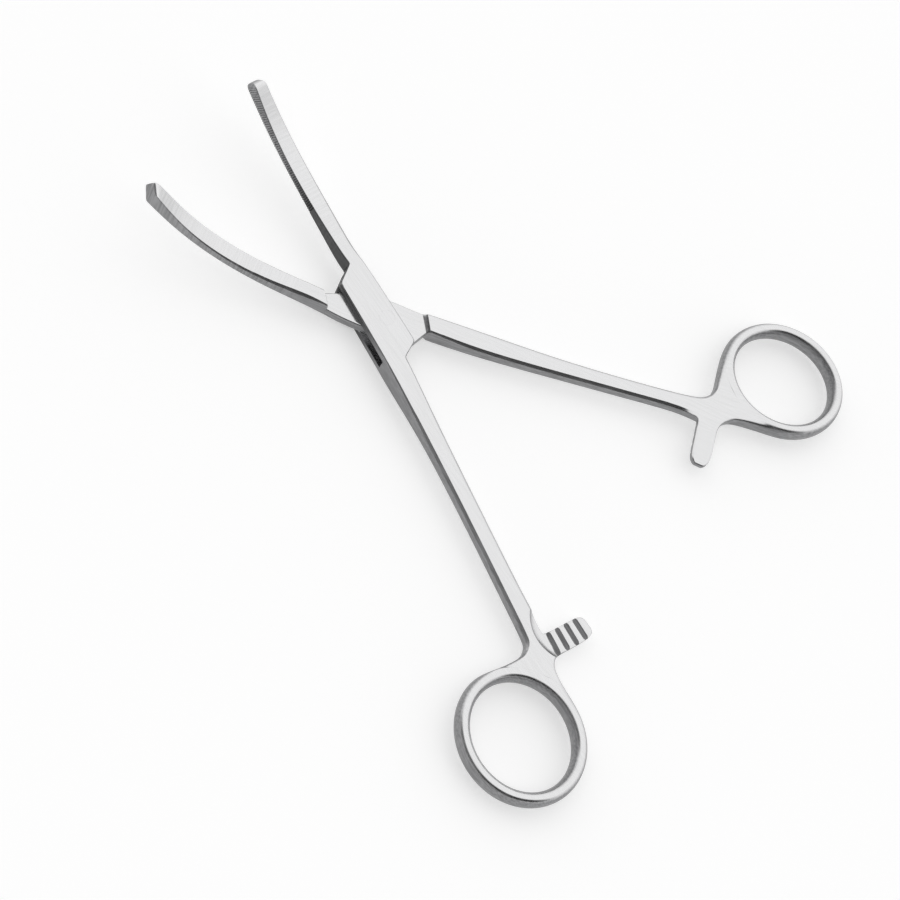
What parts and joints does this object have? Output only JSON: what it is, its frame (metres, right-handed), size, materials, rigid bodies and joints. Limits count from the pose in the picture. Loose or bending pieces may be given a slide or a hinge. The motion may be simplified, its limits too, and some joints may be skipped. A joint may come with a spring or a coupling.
{
  "type": "angiotribe forceps",
  "caption": "Crushing forceps with long serrated curved jaws, a box lock on a flush pin, slim shanks, finger rings and toothed lock bars; the jaws open and close.",
  "frame": {"origin": "on the pivot's axis, at the flat underside of the box lock, which the forceps lie on", "axes": "+X towards the jaws along the line that halves the angle between the arms, +Y towards the female arm's finger ring, +Z along the pin, towards the side that the jaws curve to"},
  "size_m": [0.143, 0.133, 0.0174],
  "materials": {
    "female_steel": "satin stainless with a fine brushed grain",
    "male_steel": "satin stainless with a fine brushed grain",
    "pin_steel": "ground flush and polished over"
  },
  "bodies": {
    "female_half": {"female_arm": "female_steel", "pivot_pin": "pin_steel"},
    "male_half": {"male_arm": "male_steel"}
  },
  "joints": [
    {"name": "box_lock", "type": "hinge", "parent": "female_half", "child": "male_half", "pos_m": [0, 0, 0.003], "axis": [0, 0, 1], "range_deg": [-34.6, 20]}
  ]
}
